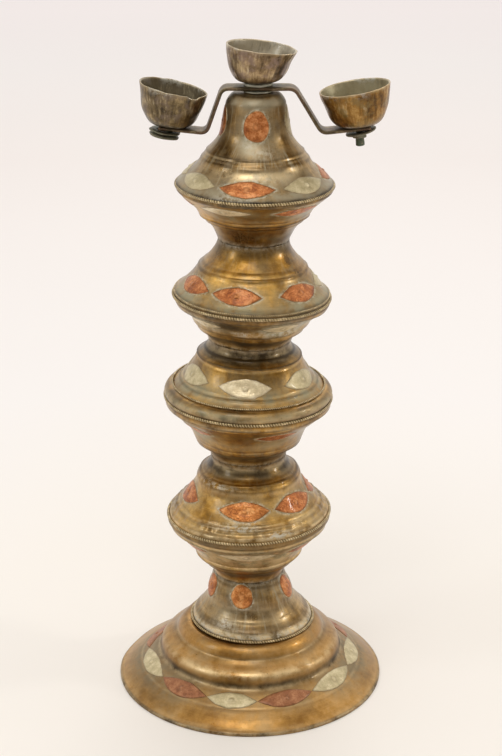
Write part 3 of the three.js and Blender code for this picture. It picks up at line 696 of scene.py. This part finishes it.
BOWL_3 = Turned(
    [(27.7, 181.2), (29, 185), (30.9, 187.8), (33.8, 190.2), (37.1, 192.6), (38.8, 195), (40.7, 200), (43.1, 205),
     (46.9, 210), (52.6, 215), (57.6, 220), (60.2, 223.6), (60.1, 226), (59.4, 227.3)],
    [(193.6, 0.6, 0.4), (196.4, 0.6, -0.4), (222, 0.7, 0.8), (220.2, 0.6, -0.5)],
    seed=15, uneven=0.25,
    # The shade mark at the neck is painted shade, and the rub on the top ridge is wear and a painted highlight.
    marks={"shade": [(186, 6, 0.6)],
           "film_and_reflection": [(205, 10, 0.5, -60, 40), (205, 10, 0.5, 60, 40), (203, 6, 0.4)],
           "rub_and_highlight": [(222.5, 1.6, 0.35)]})
SHELL_3 = Turned(
    [(59.4, 227.3), (60.6, 228.4), (61.2, 230), (60.9, 231.8), (59.9, 233.7), (58.4, 235.1), (57, 235.6),
     (55.4, 236.2), (50.5, 240.1), (45.6, 245), (42.1, 250), (39.6, 255), (38, 259.2), (37.1, 260.4), (34.2, 262.7),
     (31.7, 265.2), (30, 267.6), (29.5, 270), (29.7, 271.3)],
    [(240.6, 0.6, 0.5), (242.2, 0.6, -0.4), (260, 0.5, 0.6), (258.2, 0.6, -0.5), (264.5, 0.5, 0.3)],
    seed=16, uneven=0.2,
    # Painted shade darkens the neck and the shoulder; on the rounded band between the ropes, the film and rub marks
    # paint a highlight.
    marks={"shade": [(267, 6, 1.7), (252, 8, 0.6, 20, 45), (252, 7, 0.45, -60, 30)],
           "dirt": [(267, 4, 0.4)],
           "film_and_reflection": [(241, 4, 0.8), (232, 3, 1)],
           "rub_and_highlight": [(231.4, 2.2, 0.4)]})
BOWL_2 = Turned(
    [(29.8, 271.2), (31.4, 275), (37.1, 280), (39.2, 282.6), (41.4, 285.2), (43.8, 290), (49, 295), (54.8, 299.8),
     (55.7, 302.2), (55.1, 303.8)],
    [(283.6, 0.6, -0.45), (281, 0.6, 0.4), (299, 0.6, 0.5), (297.4, 0.6, -0.4)],
    seed=17, uneven=0.5,
    # The shade mark at the neck is painted shade; the one left of the front is a dark stain.
    marks={"shade": [(294, 8, 0.8, -18, 16), (277, 5, 0.75)],
           "crust": [(288, 2.2, 0.7, -8, 10), (291, 6, 0.9, 32, 26), (293, 6, 0.9, -52, 20)],
           "film_and_reflection": [(293, 7, 0.9, 35, 30), (293, 7, 0.9, -50, 25)],
           "dirt": [(294, 7, 0.7, -16, 12)]})
SHELL_2 = Turned(
    [(55.1, 303.8), (55.6, 305.2), (55.1, 307.4), (51.8, 310), (46.8, 315), (42.6, 320), (39.3, 325), (37.5, 327.4),
     (34.5, 330), (30.1, 335), (27, 340), (25.5, 344), (25.2, 346.2)],
    [(329.5, 0.5, 0.25), (325.8, 0.5, 0.4), (327.6, 0.5, -0.4), (323.6, 0.8, -0.15)],
    seed=18, uneven=0.22,
    # The shade marks are painted shade, on the neck and at the front below it.
    marks={"shade": [(343, 6, 0.8), (336, 6, 0.4, 5, 25)],
           "film_and_reflection": [(308, 4, 0.7), (333, 5, 0.5, 12, 12)]})
BOWL_1 = Turned(
    [(25.3, 346), (26, 348), (27.2, 350.6), (29.4, 355), (33.4, 360), (38.7, 364.8), (41.9, 370), (46.9, 375),
     (52.4, 380), (55.2, 382.8), (54.7, 385.1)],
    [(364.5, 0.5, 0.5), (361.2, 0.5, 0.5), (362.9, 0.6, -0.5), (366.4, 0.6, -0.4)],
    seed=19, uneven=0.22,
    # The shade mark is painted shade at the neck.
    marks={"shade": [(352, 7, 0.7)],
           "film_and_reflection": [(372, 6, 0.6, -10, 30), (372, 6, 0.6, 70, 30)]})
TOP_BELL = Turned(
    [(54.7, 385.1), (55.1, 386.4), (51.4, 390), (45.9, 395), (40.7, 400), (38.9, 402.6), (37.7, 405), (35.4, 407.4),
     (34, 409.8), (30.3, 413.6), (27.3, 417.2), (25.1, 420.8), (23.9, 424), (22.8, 430), (21.5, 438), (20.6, 443.9),
     (19.9, 445.3), (19, 446.7), (17.8, 448.1), (16, 449.4), (11.7, 450), (7, 450.2), (3.2, 450.2)],
    [(410, 0.4, 0.25), (407.4, 0.4, 0.3), (408.7, 0.5, -0.35)],
    seed=20, uneven=0.15,
    # The rub at the front is a painted highlight, and the shade mark darkens the right side of the bell.
    marks={"film_and_reflection": [(417, 7, 1, -2, 26), (401, 4, 0.9, 15, 22), (446, 4, 0.8), (389, 3, 0.6)],
           "crust": [(414, 3, 0.5, 8, 14), (419, 3, 0.4, -12, 10), (398, 2.4, 0.4, 5, 18), (388, 1.6, 0.6, -20, 12)],
           "rub_and_highlight": [(400, 4, 0.6, 0, 45)],
           "shade": [(435, 14, 0.5, 45, 25)]})


def add_plates(surface, prefix, height, edge, angles, metals, rise=0.6, nipple=0.7, beads="cw", nodes=""):
    """A ring of plates, each with its angle and the letter of its metal. They share an outline or have one each. The
    beads name the metals with a bead of solder round them, and nodes is the name of the CAD plates they replace."""
    for i, (angle, metal) in enumerate(zip(angles, metals)):
        material, slot = PLATE_METALS[metal]
        outline = edge[i] if isinstance(edge, list) else edge
        replaced = (f"{nodes}_{i + 1}",) if nodes else ()
        add_plate(surface, f"{prefix}_{i + 1}", angle, height, outline, material, slot, replaced,
                  31 * len(prefix) + 7 * i, rise, nipple, metal.lower() in beads)


FOOT_TIPS = [-125, -91, -57, -24, 4, 36, 71, 103, 135, 169, 202, 235]  # where the plates of the foot meet
FOOT_GAPS = list(zip(FOOT_TIPS, FOOT_TIPS[1:]))
FOOT_MIDDLES = [(start + end) / 2 for start, end in FOOT_GAPS]
FOOT_EDGES = [almond_edge(78.1 * math.radians(end - start) - 0.6, 13.3) for start, end in FOOT_GAPS]

add_plates(FOOT, "foot_plate", 15.8, FOOT_EDGES, FOOT_MIDDLES, "dwdwdwwdwdw", 0.7, 0.7, "", "foot_almond")
add_plates(FOOT_BELL, "foot_bell_plate", 76.4, oval_edge(16.5, 18.6), [-72, -11, 70, 142, 215], "cCccc", 0.7, 0.3,
           nodes="foot_bell_oval")
add_plates(SHELL_4, "shell_4_plate", 152.6, almond_edge(38.5, 15), [-82, -4, 50, 103, 160, 219], "cCcccc")
add_plates(BOWL_4, "bowl_4_plate", 119.5, almond_edge(44, 11), [-2, 58, 118, 178, 238, 298], "Wcwcwc", 0.4, 0.2, "c")
add_plates(SHELL_3, "shell_3_plate", 247.6, almond_edge(39.5, 14.5), [-67, -3.4, 61, 120, 180, 240], "wWwwww", beads="")
add_plates(BOWL_3, "bowl_3_plate", 212.5, almond_edge(34, 11), [-50, 25, 85, 145, 205, 265], "cccccc", 0.4, 0.2)
add_plates(SHELL_2, "shell_2_plate", 316, almond_edge(37, 13.8), [-65, -14, 47.5, 98, 157, 222], "cccwcc")
add_plates(BOWL_2, "bowl_2_plate", 292.6, almond_edge(29, 9.5), [-45, 28, 100, 172, 244], "WWwww", 0.4, 0.2, "")
add_plates(TOP_BELL, "top_plate", 393.4, almond_edge(40, 13.4), [-58, -7, 47, 99, 150, 201, 252], "wcwcwcw",
           beads="c", nodes="top_almond")
add_plates(BOWL_1, "bowl_1_plate", 377, almond_edge(40, 9.5), [-26, 38, 98, 158, 218, 278], "Wcwcwc", 0.4, 0.2, "c")
add_plates(TOP_BELL, "bell_plate", 431, oval_edge(17.5, 21.5), [-84, 1, 86, 180], "ccwc", 0.6, 0.3, nodes="top_oval")

FOOT.build("foot_dome", FOOT_BRASS, "foot_brass", ("base_foot",), (0.2, 0.1))
FOOT_BELL.build("foot_skirt", BELL_BRASS, "brass", ("foot_bell",), (1, 1))
for number, bowl, shell, dirt in ((4, BOWL_4, SHELL_4, 0.5), (3, BOWL_3, SHELL_3, 0.4), (2, BOWL_2, SHELL_2, 1)):
    bowl.build(f"lobe_{number}_bowl", BRASS, "brass", (f"bowl_{number}",), (1, 0.3))
    shell.build(f"lobe_{number}_shell", BRASS, "brass", (f"shell_{number}",), (0.3, dirt))
BOWL_1.build("lobe_1_bowl", BRASS, "brass", ("bowl_1",), (1, 0.3))
TOP_BELL.build("bell", BELL_BRASS, "brass", ("top_bell",), (0.3, 0))

add_rope("foot_skirt_rope", 47.1, 47.3, 31, ("foot_bell_rope",))
add_rope("lobe_4_rope", 61.2, 134.7, 32, ("rope_4",))
add_rope("lobe_3_rope", 61.7, 227.2, 33, ("rope_3",))
add_rope("lobe_3_fine_rope", 56.0, 237.3, 34, wire=0.75, pitch=1.5)
add_rope("lobe_2_rope", 57.2, 303.9, 35, ("rope_2",))
add_rope("lobe_2_fine_rope", 56.0, 306.6, 36, wire=0.7, pitch=1.5)
add_rope("lobe_1_rope", 56.3, 385.2, 37, ("rope_1",))


# Arms, cups, bolts and washers

JOINTS = {joint["child"]: joint for joint in frame["joints"]}


def joint_seat(child):
    """Where a body turns, in millimetres, and its lean to the right in radians."""
    joint = JOINTS[child]
    axis = joint["axis"]
    return np.array(joint["pos_m"]) / MM, math.atan2(axis[0], axis[2])


def leaned(points, seat, lean):
    """Points round a seat, leant with it."""
    x, y, z = np.moveaxis(np.asarray(points, float), -1, 0)
    turned = np.stack([x * math.cos(lean) + z * math.sin(lean), y, z * math.cos(lean) - x * math.sin(lean)], -1)
    return turned + seat


CUP_WALL = 1.1
CUP_FLOOR = 6
CUP_FLARE = 0.18  # power of the curve from the floor to the rim


def add_cup(name, material, rise, radius, height, slope, shift, seed, jag, notches=()):
    """A hammered bowl with its floor a rise above the point it turns round. The rim slopes by degrees and stands a
    little aside. A notch is an angle, a half width and a depth."""
    seat, lean = joint_seat(name)
    seat = seat + (rise * math.sin(lean), 0, rise * math.cos(lean))
    around, levels = 150, 56
    angle = circle(around)
    dent = waves(seed, 0.14, (3, 8))
    broad = waves(seed + 4, 0.45, (2, 4))
    top = height - 0.3 - jag * (0.5 + 0.5 * np.clip(waves(seed + 9, 1.0, (3, 13))(angle, 2.0), -1, 1))
    for place, width, depth in notches:
        gap = (np.degrees(angle) - place + 180) % 360 - 180
        top = top - depth * np.clip(1.6 - abs(gap) / width * 1.6, 0, 1)
    shares = (np.arange(levels + 1) / levels) ** 1.8  # closest together near the floor, where the wall bends
    tilt = math.tan(math.radians(slope))

    def ring(share, inset):
        reach = max(CUP_FLOOR, radius * max(share, 1e-6) ** CUP_FLARE)
        reach = reach + (dent(angle, 2.5 * share * height) + broad(angle, 2 * share * height)) * min(1, share * 3)
        reach = reach - inset * (0.3 if share < 0.01 else 1.0)
        up = share * top + inset * max(0.0, 1 - share * 4)
        x = reach * np.sin(angle)
        up = np.minimum(up, top) + x * tilt * share ** 2
        return np.stack([x + shift * share ** 2, -reach * np.cos(angle), up], -1)

    outer = [ring(share, 0.0) for share in shares]
    inner = [ring(share, CUP_WALL) for share in shares[::-1]]
    lip = (outer[-1] + inner[0]) / 2 + np.array([0, 0, 0.25])
    rings = leaned(outer + [lip] + inner, seat, lean)
    level = np.concatenate([shares, [1.0], shares[::-1]])
    count = len(level)
    inside = np.arange(count) > len(shares)
    edge = np.exp(-((1 - level) / 0.03) ** 2)
    spots = np.random.RandomState(seed + 2).uniform(-1, 1, 4)
    bloom = np.clip(np.sin(angle * 2 + spots[0] * 3) + np.sin(angle * 5 + spots[1] * 3), 0, 1)
    wear = np.repeat(edge * 0.55, around)
    grime = np.repeat(np.where(inside, 0.18, np.exp(-(level / 0.12) ** 2)), around)
    solder = np.outer(np.exp(-((1 - level) / 0.1) ** 2) * np.where(inside, 1.0, 0.5), bloom).ravel()
    turned = np.stack([np.tile(np.sin(angle), count), np.tile(np.cos(angle), count),
                       np.repeat(level * height * MM, around)], -1)
    data = {"wear": wear, "grime": grime, "solder": solder, "turned": turned, "inside": np.repeat(inside, around)}
    add_piece(name + "_bowl", *loft(rings, False), material, name, "cup_brass", (name,), data)


def add_disc(name, seat, lean, outline, replaced, seed, uneven, tilt=0.0, body="arms", look=(OLD_STEEL, "old_steel")):
    """A bored piece from its closed outline, radius and height round the seat, with an uneven rim and a tilt."""
    around = 72
    angle = circle(around)
    push = waves(seed, uneven, (2, 8))(angle, 1.0)
    slope = math.tan(math.radians(tilt))
    rim = max(radius for radius, _ in outline)
    rings = []
    for radius, up in outline:
        reach = radius + push * radius / rim
        x = reach * np.sin(angle)
        rings.append(np.stack([x, -reach * np.cos(angle), up + x * slope], -1))
    wear = np.repeat([0.5 * (radius > rim - 0.6) for radius, _ in outline], around)
    add_piece(name, *loft(leaned(rings, seat, lean), True), look[0], body, look[1], replaced, {"wear": wear})


def ring_outline(hole, rim, bottom, thickness):
    """The outline of a washer with rounded edges."""
    bevel = min(0.35, thickness * 0.3)
    top = bottom + thickness
    return [(hole, bottom + bevel), (hole + bevel, bottom), (rim * 0.6, bottom), (rim - bevel, bottom),
            (rim, bottom + bevel), (rim, top - bevel), (rim - bevel, top), (rim * 0.6, top), (hole + bevel, top),
            (hole, top - bevel)]


def add_peg(name, seat, lean, outline, body, replaced, seed, uneven):
    """A bolt or stub from its outline, radius and height, in rings about the seat."""
    around = 40
    angle = circle(around)
    push = waves(seed, uneven, (2, 7))(angle, 1.0)
    rings = [np.stack([(radius + push) * np.sin(angle), -(radius + push) * np.cos(angle), 0 * angle + up], -1)
             for radius, up in outline]
    add_piece(name, *loft(leaned(rings, seat, lean), False), OLD_STEEL, body, "old_steel", replaced)


BAR_HALF = (8, 1.3)  # half width and half thickness
BAR_MIDDLE, KNEE = 453.3, 422.5  # heights of the bar over the crown and of its lower bends
BEND = 4.5  # how far from a corner its bend starts
BAR_LINE = [(-63, KNEE + 3.5), (-30, KNEE), (-19.1, BAR_MIDDLE), (30.6, BAR_MIDDLE), (49.3, KNEE), (83, KNEE + 3.6)]


def straight(start, end):
    """Points every two millimetres or so from one place to another, without the first."""
    count = int(np.hypot(*(end - start)) / 2)
    return [start + (end - start) * step / count for step in range(1, count + 1)]


def rounded_path(corners, radius, steps):
    """A line with its corners rounded, and points along its straights."""
    corners = [np.array(c, float) for c in corners]
    path = [corners[0]]
    for before, corner, after in zip(corners, corners[1:], corners[2:]):
        start, end = (corner + (far - corner) / np.hypot(*(far - corner)) * radius for far in (before, after))
        path += straight(path[-1], start)[:-1]
        for t in np.arange(steps + 1) / steps:
            path.append((1 - t) ** 2 * start + 2 * t * (1 - t) * corner + t ** 2 * end)
    return np.array(path + straight(path[-1], corners[-1]))


def add_bar():
    """The flat bar, with soft worn edges and a slightly uneven width."""
    path = rounded_path(BAR_LINE, BEND, 7)
    along = np.gradient(path, axis=0)
    along /= np.hypot(*along.T)[:, None]
    square = np.stack([-along[:, 1], along[:, 0]], -1)
    turn = circle(20)
    wide = np.sign(np.cos(turn)) * abs(np.cos(turn)) ** 0.25 * BAR_HALF[0]
    tall = np.sign(np.sin(turn)) * abs(np.sin(turn)) ** 0.5 * BAR_HALF[1]
    draw = np.random.RandomState(8)
    vary = 1 + 0.035 * np.convolve(draw.uniform(-1, 1, len(path) + 4), np.ones(5) / 2.2, "valid")
    rings = []
    for point, normal, size in zip(path, square, vary):
        x = point[0] + normal[0] * tall
        z = point[1] + normal[1] * tall
        rings.append(np.stack([x, wide * size, z], -1))
    corner = np.clip((abs(wide) / BAR_HALF[0]) * (abs(tall) / BAR_HALF[1]) * 2.2 - 1.0, 0, 1)
    wear = np.tile(corner, len(path))
    add_piece("bent_bar", *loft(rings, False), BAR_BRASS, "arms", "bar_brass", ("arm_bar",), {"wear": wear})


add_bar()
add_cup("centre_cup", CENTRE_BRASS, 0, 24, 24.2, -7.1, 2.4, 41, 0.35)
add_cup("left_cup", LEFT_BRASS, 1.6, 23.5, 27, -6.2, 0, 42, 0.35, [(40, 14, 1.5), (-70, 20, 0.5)])
add_cup("right_cup", RIGHT_BRASS, 1.6, 24.5, 26.9, 3.8, -0.6, 43, 0.2)

HEAD = [(2.4, 2.9), (4.8, 2.9), (4.9, 4), (4.1, 4.8), (1.8, 5.2)]  # of the side bolts, over the floors of their cups

CROWN = np.array([joint_seat("centre_cup")[0][0], 0, 450.5])
add_disc("crown_washer", CROWN, 0, ring_outline(2.9, 10.4, 0, 1.2), ("seat_washer",), 51, 0.5, 0, "stack",
         (WASHER, "solder"))
add_disc("solder_disc", CROWN, 0, ring_outline(2.9, 10, 4.4, 2), ("cup_washer",), 53, 0.5, look=(WASHER, "solder"))
add_peg("centre_screw", CROWN, 0, [(2.4, -7.4), (2.4, 8), (4.9, 8), (5, 9), (4.2, 10), (2, 10.4)], "stack",
        ("centre_bolt",), 52, 0.08)

LEFT_SEAT, LEFT_LEAN = joint_seat("left_cup")
LEFT_NUT = [(3.2, -6.4), (7.5, -6.6), (10, -6.1), (10.4, -5.4), (9.9, -4.7), (7.6, -3.9), (6.6, -3.1), (3.2, -3.1)]
add_disc("left_disc", LEFT_SEAT + (-2.9, 0, 0), LEFT_LEAN, ring_outline(5.5, 10.9, -2.9, 1), ("left_washer",), 61,
         0.8, -5)
add_disc("left_hub", LEFT_SEAT + (-3.4, 0, 0), LEFT_LEAN, LEFT_NUT, ("left_nut",), 62, 0.4, -5)
add_peg("left_screw", LEFT_SEAT, LEFT_LEAN, [(2.4, -7), (2.5, -6.6)] + HEAD, "arms", ("left_bolt",), 71, 0.12)

RIGHT_SEAT, RIGHT_LEAN = joint_seat("right_cup")
RIGHT_END = [(2.2, -12.9), (2.9, -12.6), (3.1, -12), (2.9, -7.2), (2.4, -6)]
add_disc("right_disc", RIGHT_SEAT + (1.2, 0, 0), RIGHT_LEAN, ring_outline(3.4, 10.7, -3.4, 1.3), ("right_washer",), 63,
         0.4, 9)
add_disc("right_hub", RIGHT_SEAT, RIGHT_LEAN, ring_outline(2.9, 4.9, -6.9, 3.4), ("right_nut",), 64, 0.3)
add_peg("right_screw", RIGHT_SEAT, RIGHT_LEAN, RIGHT_END + HEAD, "arms", ("right_bolt",), 72, 0.12)

# The only CAD node that is seen as it is
for node in frame["nodes"].values():
    if node.get("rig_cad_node", "") == "centre_nut":
        node.data.materials.clear()
        node.data.materials.append(OLD_STEEL)


# Floor, light and camera

BACKDROP_REACH = 3.0  # metres from the object
# What is added to the floor at a distance in metres, in linear light
BACKDROP_LIFT = [(0.25, (0, 0, 0)), (0.6, (0, 0.012, 0.046)), (1.6, (0.02, 0.012, 0.04)), (2.3, (0.077, 0.081, 0.116)),
                 (2.9, (0.15, 0.135, 0.175))]


def pale_floor():
    """Plain pale paper. What the camera sees of its far part is lifted a little, to the tone of a lit backdrop."""
    g = Graph("floor")
    tone = g.span(g.noise(1.2, 2, 0.5), 0.3, 0.7, 0.985)
    colour = g.blend(1.0, (242, 236, 230), tone, "MULTIPLY")
    paper = g.node("BsdfPrincipled", Base_Color=colour, Roughness=0.85)
    path = g.node("LightPath")
    seen = g.most(path.outputs["Is Camera Ray"], path.outputs["Is Glossy Ray"])
    away = g.node("VectorMath", {"operation": "LENGTH"}, g.place).outputs["Value"]
    stops = [(distance / BACKDROP_REACH, (*added, 1.0)) for distance, added in BACKDROP_LIFT]
    glow = g.node("Emission", Color=g.ramp(g.span(away, 0, BACKDROP_REACH), *stops), Strength=seen)
    return g.done(g.node("AddShader", None, paper.outputs[0], glow.outputs[0]))


def add_floor():
    far = 12
    mesh = bpy.data.meshes.new("floor")
    mesh.from_pydata([(-far, -far, 0), (far, -far, 0), (far, far, 0), (-far, far, 0)], [], [(0, 1, 2, 3)])
    mesh.materials.append(pale_floor())
    placed("floor", mesh)


# The room from behind the viewer to behind the object
ROOM = ((0, (150, 145, 137)), (0.3, (172, 167, 158)), (0.5, (217, 214, 209)), (1, (248, 246, 242)))
CEILING_SHARE = 0.45  # how much the ceiling counts as behind the object


def add_world():
    """A pale room: bright behind, beside and above the object, darker behind the viewer. The camera sees it plain."""
    g = Graph("studio", bpy.data.worlds, "OutputWorld", "Generated")
    split = g.node("SeparateXYZ", Vector=g.place)
    bright = g.weighted((split.outputs["Z"], CEILING_SHARE), (split.outputs["Y"], 1))
    room = g.ramp(g.span(bright, -1, 1), *ROOM)
    seen = g.node("LightPath").outputs["Is Camera Ray"]
    sky = g.node("Background", Color=g.blend(seen, room, (238, 233, 228)), Strength=1.01)
    bpy.context.scene.world = g.done(sky)


add_floor()
add_world()
add_lamp("ceiling", (-0.25, -1, 2.1), (1.1, 0.8), 10, (1, 0.985, 0.955))
add_lamp("window", (1.75, -0.15, 1.1), (0.11, 0.22), 4.2, (1, 0.98, 0.93))
add_lamp("cool_window", (-1.7, -0.7, 1.3), (0.4, 0.7), 5, (0.9, 0.96, 1))
add_lamp("back", (0.2, 1.6, 2.2), (1.6, 1), 13, target=(0, 0, 0.2))
add_camera()
bpy.context.scene.view_settings.view_transform = "Standard"
